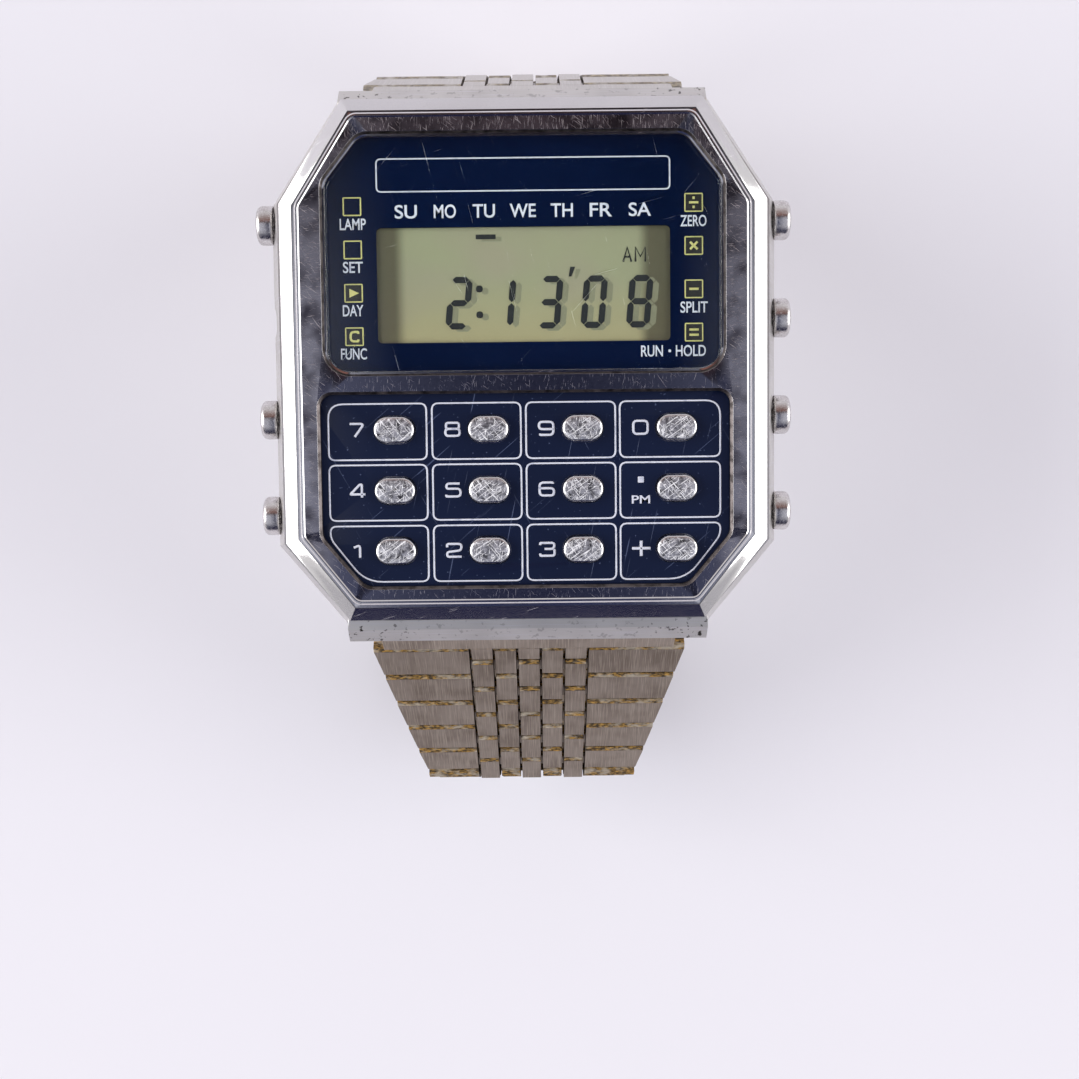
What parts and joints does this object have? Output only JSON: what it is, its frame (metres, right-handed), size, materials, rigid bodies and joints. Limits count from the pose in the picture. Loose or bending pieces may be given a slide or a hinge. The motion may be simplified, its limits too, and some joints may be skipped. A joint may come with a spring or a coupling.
{
  "type": "calculator watch",
  "caption": "Eight-sided steel calculator wristwatch with an LCD window, an oval-key panel, side pushers and a folded-link bracelet closed by a fold-over clasp.",
  "frame": {"origin": "centre of the case back's outer face", "axes": "+Z out of the dial, +Y to 12 o'clock, +X to 3 o'clock"},
  "size_m": [0.0404, 0.0651, 0.0408],
  "materials": {
    "case_steel": "brushed, worn",
    "bezel_steel": "brushed with polished edges, worn",
    "display_glass": "polished, clear",
    "display_print": "printed behind the glass",
    "lcd": "satin grey-green",
    "panel_print": "satin printed",
    "key_steel": "brushed, scratched",
    "pusher_steel": "polished",
    "module_plastic": "matt",
    "board": "satin",
    "chip_plastic": "matt",
    "can_steel": "polished",
    "rubber": "matt",
    "battery_steel": "satin",
    "plate_steel": "satin",
    "bar_steel": "satin",
    "link_steel": "brushed lengthways, worn",
    "clasp_steel": "brushed, worn"
  },
  "bodies": {
    "case": {"case_middle": "case_steel", "bezel": "bezel_steel", "display_glass": "display_glass", "display_mask": "display_print", "lcd_panel": "lcd", "key_panel": "panel_print", "module_frame": "module_plastic", "circuit_board": "board", "processor_chip": "chip_plastic", "quartz_can": "can_steel", "zebra_strips": "rubber", "contact_mat": "rubber", "battery": "battery_steel", "battery_plate": "plate_steel", "case_back": "case_steel", "back_seal": "rubber", "lug_spring_bars": "bar_steel"},
    "key_7_body": {"key_7": "key_steel"},
    "key_8_body": {"key_8": "key_steel"},
    "key_9_body": {"key_9": "key_steel"},
    "key_0_body": {"key_0": "key_steel"},
    "key_4_body": {"key_4": "key_steel"},
    "key_5_body": {"key_5": "key_steel"},
    "key_6_body": {"key_6": "key_steel"},
    "key_point_body": {"key_point": "key_steel"},
    "key_1_body": {"key_1": "key_steel"},
    "key_2_body": {"key_2": "key_steel"},
    "key_3_body": {"key_3": "key_steel"},
    "key_plus_body": {"key_plus": "key_steel"},
    "pusher_left_1_body": {"pusher_left_1": "pusher_steel"},
    "pusher_left_2_body": {"pusher_left_2": "pusher_steel"},
    "pusher_left_3_body": {"pusher_left_3": "pusher_steel"},
    "pusher_left_4_body": {"pusher_left_4": "pusher_steel"},
    "pusher_right_1_body": {"pusher_right_1": "pusher_steel"},
    "pusher_right_2_body": {"pusher_right_2": "pusher_steel"},
    "pusher_right_3_body": {"pusher_right_3": "pusher_steel"},
    "pusher_right_4_body": {"pusher_right_4": "pusher_steel"},
    "upper_end": {"upper_end_piece": "link_steel"},
    "upper_row_1": {"upper_link_1": "link_steel"},
    "upper_row_2": {"upper_link_2": "link_steel"},
    "upper_row_3": {"upper_link_3": "link_steel"},
    "upper_row_4": {"upper_link_4": "link_steel"},
    "upper_row_5": {"upper_link_5": "link_steel"},
    "upper_row_6": {"upper_link_6": "link_steel"},
    "upper_row_7": {"upper_link_7": "link_steel"},
    "upper_row_8": {"upper_link_8": "link_steel"},
    "lower_end": {"lower_end_piece": "link_steel"},
    "lower_row_1": {"lower_link_1": "link_steel"},
    "lower_row_2": {"lower_link_2": "link_steel"},
    "lower_row_3": {"lower_link_3": "link_steel"},
    "lower_row_4": {"lower_link_4": "link_steel"},
    "lower_row_5": {"lower_link_5": "link_steel"},
    "lower_row_6": {"lower_link_6": "link_steel"},
    "lower_row_7": {"lower_link_7": "link_steel"},
    "lower_row_8": {"lower_link_8": "link_steel"},
    "lower_row_9": {"lower_link_9": "link_steel"},
    "cover": {"clasp_cover": "clasp_steel"},
    "middle_leaf": {"clasp_middle_leaf": "clasp_steel"},
    "inner_leaf": {"clasp_inner_leaf": "clasp_steel"}
  },
  "joints": [
    {"name": "key_7_press", "type": "slide", "parent": "case", "child": "key_7_body", "axis": [0, 0, -1], "range_m": [0, 0.0004], "stiffness_N_per_m": 600, "springref_m": -0.0002},
    {"name": "key_8_press", "type": "slide", "parent": "case", "child": "key_8_body", "axis": [0, 0, -1], "range_m": [0, 0.0004], "stiffness_N_per_m": 600, "springref_m": -0.0002},
    {"name": "key_9_press", "type": "slide", "parent": "case", "child": "key_9_body", "axis": [0, 0, -1], "range_m": [0, 0.0004], "stiffness_N_per_m": 600, "springref_m": -0.0002},
    {"name": "key_0_press", "type": "slide", "parent": "case", "child": "key_0_body", "axis": [0, 0, -1], "range_m": [0, 0.0004], "stiffness_N_per_m": 600, "springref_m": -0.0002},
    {"name": "key_4_press", "type": "slide", "parent": "case", "child": "key_4_body", "axis": [0, 0, -1], "range_m": [0, 0.0004], "stiffness_N_per_m": 600, "springref_m": -0.0002},
    {"name": "key_5_press", "type": "slide", "parent": "case", "child": "key_5_body", "axis": [0, 0, -1], "range_m": [0, 0.0004], "stiffness_N_per_m": 600, "springref_m": -0.0002},
    {"name": "key_6_press", "type": "slide", "parent": "case", "child": "key_6_body", "axis": [0, 0, -1], "range_m": [0, 0.0004], "stiffness_N_per_m": 600, "springref_m": -0.0002},
    {"name": "key_point_press", "type": "slide", "parent": "case", "child": "key_point_body", "axis": [0, 0, -1], "range_m": [0, 0.0004], "stiffness_N_per_m": 600, "springref_m": -0.0002},
    {"name": "key_1_press", "type": "slide", "parent": "case", "child": "key_1_body", "axis": [0, 0, -1], "range_m": [0, 0.0004], "stiffness_N_per_m": 600, "springref_m": -0.0002},
    {"name": "key_2_press", "type": "slide", "parent": "case", "child": "key_2_body", "axis": [0, 0, -1], "range_m": [0, 0.0004], "stiffness_N_per_m": 600, "springref_m": -0.0002},
    {"name": "key_3_press", "type": "slide", "parent": "case", "child": "key_3_body", "axis": [0, 0, -1], "range_m": [0, 0.0004], "stiffness_N_per_m": 600, "springref_m": -0.0002},
    {"name": "key_plus_press", "type": "slide", "parent": "case", "child": "key_plus_body", "axis": [0, 0, -1], "range_m": [0, 0.0004], "stiffness_N_per_m": 600, "springref_m": -0.0002},
    {"name": "pusher_left_1_press", "type": "slide", "parent": "case", "child": "pusher_left_1_body", "axis": [1, 0, 0], "range_m": [0, 0.0007], "stiffness_N_per_m": 500, "springref_m": -0.0003},
    {"name": "pusher_left_2_press", "type": "slide", "parent": "case", "child": "pusher_left_2_body", "axis": [1, 0, 0], "range_m": [0, 0.0007], "stiffness_N_per_m": 500, "springref_m": -0.0003},
    {"name": "pusher_left_3_press", "type": "slide", "parent": "case", "child": "pusher_left_3_body", "axis": [1, 0, 0], "range_m": [0, 0.0007], "stiffness_N_per_m": 500, "springref_m": -0.0003},
    {"name": "pusher_left_4_press", "type": "slide", "parent": "case", "child": "pusher_left_4_body", "axis": [1, 0, 0], "range_m": [0, 0.0007], "stiffness_N_per_m": 500, "springref_m": -0.0003},
    {"name": "pusher_right_1_press", "type": "slide", "parent": "case", "child": "pusher_right_1_body", "axis": [-1, 0, 0], "range_m": [0, 0.0007], "stiffness_N_per_m": 500, "springref_m": -0.0003},
    {"name": "pusher_right_2_press", "type": "slide", "parent": "case", "child": "pusher_right_2_body", "axis": [-1, 0, 0], "range_m": [0, 0.0007], "stiffness_N_per_m": 500, "springref_m": -0.0003},
    {"name": "pusher_right_3_press", "type": "slide", "parent": "case", "child": "pusher_right_3_body", "axis": [-1, 0, 0], "range_m": [0, 0.0007], "stiffness_N_per_m": 500, "springref_m": -0.0003},
    {"name": "pusher_right_4_press", "type": "slide", "parent": "case", "child": "pusher_right_4_body", "axis": [-1, 0, 0], "range_m": [0, 0.0007], "stiffness_N_per_m": 500, "springref_m": -0.0003},
    {"name": "upper_lug_hinge", "type": "hinge", "parent": "case", "child": "upper_end", "pos_m": [0, 0.0197, 0.00255], "axis": [1, 0, 0], "range_deg": [0, 50]},
    {"name": "upper_link_1_hinge", "type": "hinge", "parent": "upper_end", "child": "upper_row_1", "pos_m": [0, 0.02169, -0.00193], "axis": [1, 0, 0], "range_deg": [0, 14]},
    {"name": "upper_link_2_hinge", "type": "hinge", "parent": "upper_row_1", "child": "upper_row_2", "pos_m": [0, 0.02319, -0.00564], "axis": [1, 0, 0], "range_deg": [0, 20]},
    {"name": "upper_link_3_hinge", "type": "hinge", "parent": "upper_row_2", "child": "upper_row_3", "pos_m": [0, 0.02416, -0.00952], "axis": [1, 0, 0], "range_deg": [0, 14]},
    {"name": "upper_link_4_hinge", "type": "hinge", "parent": "upper_row_3", "child": "upper_row_4", "pos_m": [0, 0.02499, -0.01343], "axis": [1, 0, 0], "range_deg": [0, 14]},
    {"name": "upper_link_5_hinge", "type": "hinge", "parent": "upper_row_4", "child": "upper_row_5", "pos_m": [0, 0.02569, -0.01737], "axis": [1, 0, 0], "range_deg": [0, 14]},
    {"name": "upper_link_6_hinge", "type": "hinge", "parent": "upper_row_5", "child": "upper_row_6", "pos_m": [0, 0.02624, -0.02133], "axis": [1, 0, 0], "range_deg": [0, 19.59]},
    {"name": "upper_link_7_hinge", "type": "hinge", "parent": "upper_row_6", "child": "upper_row_7", "pos_m": [0, 0.02627, -0.02533], "axis": [1, 0, 0], "range_deg": [0, 44.92]},
    {"name": "upper_link_8_hinge", "type": "hinge", "parent": "upper_row_7", "child": "upper_row_8", "pos_m": [0, 0.02412, -0.0287], "axis": [1, 0, 0], "range_deg": [0, 59.49]},
    {"name": "lower_lug_hinge", "type": "hinge", "parent": "case", "child": "lower_end", "pos_m": [0, -0.0197, 0.00255], "axis": [-1, 0, 0], "range_deg": [0, 50]},
    {"name": "lower_link_1_hinge", "type": "hinge", "parent": "lower_end", "child": "lower_row_1", "pos_m": [0, -0.02251, -0.00146], "axis": [-1, 0, 0], "range_deg": [0, 4]},
    {"name": "lower_link_2_hinge", "type": "hinge", "parent": "lower_row_1", "child": "lower_row_2", "pos_m": [0, -0.02524, -0.00439], "axis": [-1, 0, 0], "range_deg": [0, 12]},
    {"name": "lower_link_3_hinge", "type": "hinge", "parent": "lower_row_2", "child": "lower_row_3", "pos_m": [0, -0.02797, -0.00731], "axis": [-1, 0, 0], "range_deg": [0, 13]},
    {"name": "lower_link_4_hinge", "type": "hinge", "parent": "lower_row_3", "child": "lower_row_4", "pos_m": [0, -0.03064, -0.01029], "axis": [-1, 0, 0], "range_deg": [0, 12]},
    {"name": "lower_link_5_hinge", "type": "hinge", "parent": "lower_row_4", "child": "lower_row_5", "pos_m": [0, -0.03332, -0.01326], "axis": [-1, 0, 0], "range_deg": [0, 14]},
    {"name": "lower_link_6_hinge", "type": "hinge", "parent": "lower_row_5", "child": "lower_row_6", "pos_m": [0, -0.03589, -0.01632], "axis": [-1, 0, 0], "range_deg": [0, 40]},
    {"name": "lower_link_7_hinge", "type": "hinge", "parent": "lower_row_6", "child": "lower_row_7", "pos_m": [0, -0.03672, -0.02024], "axis": [-1, 0, 0], "range_deg": [0, 52]},
    {"name": "lower_link_8_hinge", "type": "hinge", "parent": "lower_row_7", "child": "lower_row_8", "pos_m": [0, -0.03484, -0.02377], "axis": [-1, 0, 0], "range_deg": [0, 42]},
    {"name": "lower_link_9_hinge", "type": "hinge", "parent": "lower_row_8", "child": "lower_row_9", "pos_m": [0, -0.02806, -0.02801], "axis": [-1, 0, 0], "range_deg": [0, 34]},
    {"name": "clasp_cover_hinge", "type": "hinge", "parent": "upper_row_8", "child": "cover", "pos_m": [0, 0.02018, -0.0294], "axis": [1, 0, 0], "range_deg": [0, 15]},
    {"name": "outer_leaf_hinge", "type": "hinge", "parent": "cover", "child": "middle_leaf", "pos_m": [0, -0.01676, -0.03057], "axis": [1, 0, 0], "range_deg": [0, 55]},
    {"name": "inner_leaf_hinge", "type": "hinge", "parent": "middle_leaf", "child": "inner_leaf", "pos_m": [0, 0.01471, -0.03006], "axis": [-1, 0, 0], "range_deg": [0, 50]}
  ]
}
